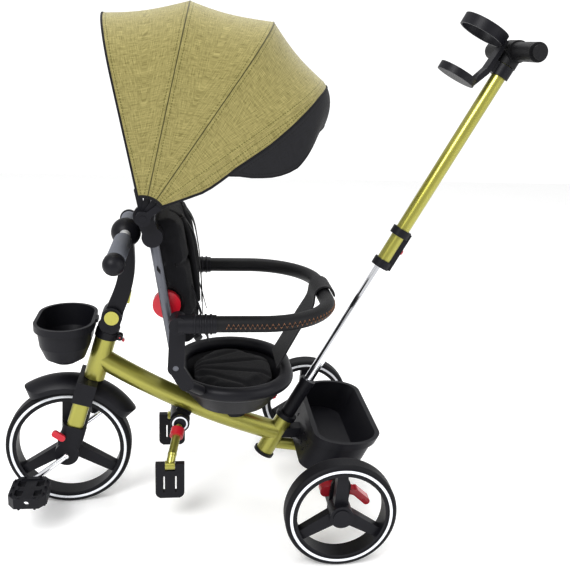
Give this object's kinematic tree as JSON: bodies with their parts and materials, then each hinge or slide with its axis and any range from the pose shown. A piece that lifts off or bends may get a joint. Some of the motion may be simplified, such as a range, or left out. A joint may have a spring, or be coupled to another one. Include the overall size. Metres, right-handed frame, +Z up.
{
  "type": "children's push tricycle",
  "caption": "Children's push tricycle with swivelling padded seat, guard ring, folding canopy, telescopic push bar, cup holder, footrest and two baskets.",
  "frame": {"origin": "on the ground, at the middle of the bounding box", "axes": "+X to the rear (the push bar), +Y to the rider's right, +Z up"},
  "size_m": [0.9574, 0.512, 0.9587],
  "materials": {
    "frame_paint": "metallic gloss",
    "black_plastic": "fine grain",
    "tyre_foam": "matt",
    "steel": "brushed",
    "chrome": "polished",
    "red_plastic": "gloss",
    "gold_trim": "satin",
    "white_paint": "gloss",
    "grey_foam": "foam",
    "grey_paint": "satin",
    "black_foam": "satin",
    "black_fabric": "woven",
    "olive_fabric": "woven melange"
  },
  "bodies": {
    "frame": {"main_frame": "frame_paint", "frame_end_cap": "black_plastic", "rear_axle": "steel", "brake_housings": "black_plastic", "rear_basket": "black_plastic", "push_sleeve": "black_plastic", "push_tube_lower": "chrome", "steering_collar": "black_plastic", "footrest_bracket": "black_plastic", "seat_saddle": "black_plastic"},
    "rear_wheel_left": {"rear_tyre_left": "tyre_foam", "rear_rim_left": "black_plastic"},
    "rear_wheel_right": {"rear_tyre_right": "tyre_foam", "rear_rim_right": "black_plastic"},
    "brake_left": {"brake_lever_left": "red_plastic"},
    "brake_right": {"brake_lever_right": "red_plastic"},
    "push_upper": {"slider_collar": "black_plastic", "push_tube_upper": "frame_paint", "push_handle": "black_foam", "cup_holder": "black_plastic"},
    "push_button": {"slider_button": "red_plastic"},
    "steering_lock": {"lock_clip": "red_plastic"},
    "fork": {"fork_legs": "frame_paint", "mudguard": "black_plastic", "fork_dropouts": "black_plastic", "stem_knuckle": "black_plastic", "stem_pivot_bolt": "gold_trim", "front_basket": "black_plastic"},
    "front_wheel": {"front_tyre": "tyre_foam", "front_rim": "black_plastic"},
    "crank_set": {"crank": "chrome"},
    "left_pedal": {"pedal_left": "black_plastic"},
    "right_pedal": {"pedal_right": "black_plastic"},
    "clutch": {"clutch_lever": "red_plastic"},
    "handlebar_stem": {"stem": "black_plastic", "handlebar": "white_paint", "handlebar_grips": "grey_foam", "handlebar_ends": "black_plastic"},
    "fold_button": {"stem_button": "gold_trim"},
    "footrest": {"footrest_struts": "frame_paint", "footrest_collars": "red_plastic"},
    "left_plate": {"foot_plate_left": "black_plastic"},
    "right_plate": {"foot_plate_right": "black_plastic"},
    "seat": {"seat_tub": "black_plastic", "seat_pad": "black_fabric", "seat_arms": "black_plastic"},
    "seat_release": {"swivel_lever": "red_plastic"},
    "guard": {"guard_hubs": "black_plastic", "guard_ring": "black_foam", "crotch_strap": "black_fabric"},
    "backrest": {"backrest_frame": "grey_paint", "backrest_cushion": "black_fabric", "canopy_clamps": "black_plastic", "pull_cord": "black_fabric"},
    "recline_knob": {"recline_dial": "red_plastic"},
    "canopy_back": {"canopy_bow_back": "black_plastic", "canopy_cover": "olive_fabric"},
    "canopy_rear": {"canopy_bow_rear": "black_plastic"},
    "canopy_mid": {"canopy_bow_mid": "black_plastic"},
    "canopy_front": {"canopy_bow_front": "black_plastic"}
  },
  "joints": [
    {"name": "rear_wheel_left_spin", "type": "hinge", "parent": "frame", "child": "rear_wheel_left", "pos_m": [0.14128, -0.234, 0.1], "axis": [0, 1, 0], "continuous": true},
    {"name": "rear_wheel_right_spin", "type": "hinge", "parent": "frame", "child": "rear_wheel_right", "pos_m": [0.14128, 0.234, 0.1], "axis": [0, 1, 0], "continuous": true},
    {"name": "brake_left_press", "type": "hinge", "parent": "frame", "child": "brake_left", "pos_m": [0.14128, -0.195, 0.126], "axis": [0, 1, 0], "range_deg": [0, 10]},
    {"name": "brake_right_press", "type": "hinge", "parent": "frame", "child": "brake_right", "pos_m": [0.14128, 0.195, 0.126], "axis": [0, 1, 0], "range_deg": [0, 10]},
    {"name": "push_bar_slide", "type": "slide", "parent": "frame", "child": "push_upper", "axis": [0.4756, 0, 0.8796], "range_m": [-0.22, 0]},
    {"name": "push_button_press", "type": "slide", "parent": "push_upper", "child": "push_button", "axis": [-0.8796, 0, 0.4756], "range_m": [0, 0.0024], "stiffness_N_per_m": 300},
    {"name": "steering_lock_flip", "type": "hinge", "parent": "frame", "child": "steering_lock", "pos_m": [-0.25654, 0, 0.34525], "axis": [0, -1, 0], "range_deg": [0, 60]},
    {"name": "steering", "type": "hinge", "parent": "frame", "child": "fork", "pos_m": [-0.29471, 0, 0.30441], "axis": [0.284, 0, 0.9588], "range_deg": [-15, 15]},
    {"name": "front_wheel_spin", "type": "hinge", "parent": "fork", "child": "front_wheel", "pos_m": [-0.35872, 0, 0.12], "axis": [0, 1, 0], "continuous": true},
    {"name": "crank_spin", "type": "hinge", "parent": "fork", "child": "crank_set", "pos_m": [-0.35872, 0, 0.12], "axis": [0, 1, 0], "continuous": true},
    {"name": "pedal_left_spin", "type": "hinge", "parent": "crank_set", "child": "left_pedal", "pos_m": [-0.41675, -0.11, 0.08086], "axis": [0, 1, 0], "continuous": true},
    {"name": "pedal_right_spin", "type": "hinge", "parent": "crank_set", "child": "right_pedal", "pos_m": [-0.30069, 0.11, 0.15914], "axis": [0, 1, 0], "continuous": true},
    {"name": "clutch_flip", "type": "hinge", "parent": "fork", "child": "clutch", "pos_m": [-0.36536, -0.05, 0.15743], "axis": [0, 1, 0], "range_deg": [-20, 20]},
    {"name": "stem_fold", "type": "hinge", "parent": "fork", "child": "handlebar_stem", "pos_m": [-0.26943, 0, 0.38975], "axis": [0, 1, 0], "range_deg": [-55, 0]},
    {"name": "fold_button_press", "type": "slide", "parent": "handlebar_stem", "child": "fold_button", "axis": [-0.9848, 0, 0.1736], "range_m": [0, 0.0025], "stiffness_N_per_m": 300},
    {"name": "footrest_swing", "type": "hinge", "parent": "frame", "child": "footrest", "pos_m": [-0.14272, 0, 0.18], "axis": [0, 1, 0], "range_deg": [-60, 15]},
    {"name": "foot_plate_left_fold", "type": "hinge", "parent": "footrest", "child": "left_plate", "pos_m": [-0.16072, -0.104, 0.126], "axis": [1, 0, 0], "range_deg": [-90, 0]},
    {"name": "foot_plate_right_fold", "type": "hinge", "parent": "footrest", "child": "right_plate", "pos_m": [-0.16072, 0.104, 0.126], "axis": [1, 0, 0], "range_deg": [0, 90]},
    {"name": "seat_swivel", "type": "hinge", "parent": "frame", "child": "seat", "pos_m": [-0.03472, 0, 0.22], "axis": [0, 0, 1], "range_deg": [-12, 12]},
    {"name": "seat_release_turn", "type": "hinge", "parent": "seat", "child": "seat_release", "pos_m": [0.01528, 0, 0.221], "axis": [0, 0, 1], "range_deg": [-15, 15]},
    {"name": "guard_lift", "type": "hinge", "parent": "seat", "child": "guard", "pos_m": [-0.14472, 0, 0.437], "axis": [0, -1, 0], "range_deg": [0, 35], "deforming": ["crotch_strap"]},
    {"name": "backrest_recline", "type": "hinge", "parent": "seat", "child": "backrest", "pos_m": [-0.14872, 0, 0.35], "axis": [0, 1, 0], "range_deg": [-4, 8]},
    {"name": "recline_knob_turn", "type": "hinge", "parent": "backrest", "child": "recline_knob", "pos_m": [-0.16454, -0.125, 0.45279], "axis": [0, 1, 0], "range_deg": [-60, 60]},
    {"name": "canopy_tilt", "type": "hinge", "parent": "backrest", "child": "canopy_back", "pos_m": [-0.19972, 0, 0.616], "axis": [0, -1, 0], "range_deg": [-12, 10]},
    {"name": "canopy_fold_rear", "type": "hinge", "parent": "canopy_back", "child": "canopy_rear", "pos_m": [-0.19972, 0, 0.616], "axis": [0, -1, 0], "range_deg": [0, 13], "deforming": ["canopy_cover"]},
    {"name": "canopy_fold_mid", "type": "hinge", "parent": "canopy_rear", "child": "canopy_mid", "pos_m": [-0.19972, 0, 0.616], "axis": [0, -1, 0], "range_deg": [0, 13], "deforming": ["canopy_cover"]},
    {"name": "canopy_fold_front", "type": "hinge", "parent": "canopy_mid", "child": "canopy_front", "pos_m": [-0.19972, 0, 0.616], "axis": [0, -1, 0], "range_deg": [0, 13], "deforming": ["canopy_cover"]}
  ],
  "couplings": [
    {"joint": "crank_spin", "follows": "front_wheel_spin", "ratio": 1},
    {"joint": "canopy_fold_mid", "follows": "canopy_fold_rear", "ratio": 1},
    {"joint": "canopy_fold_front", "follows": "canopy_fold_rear", "ratio": 1}
  ]
}
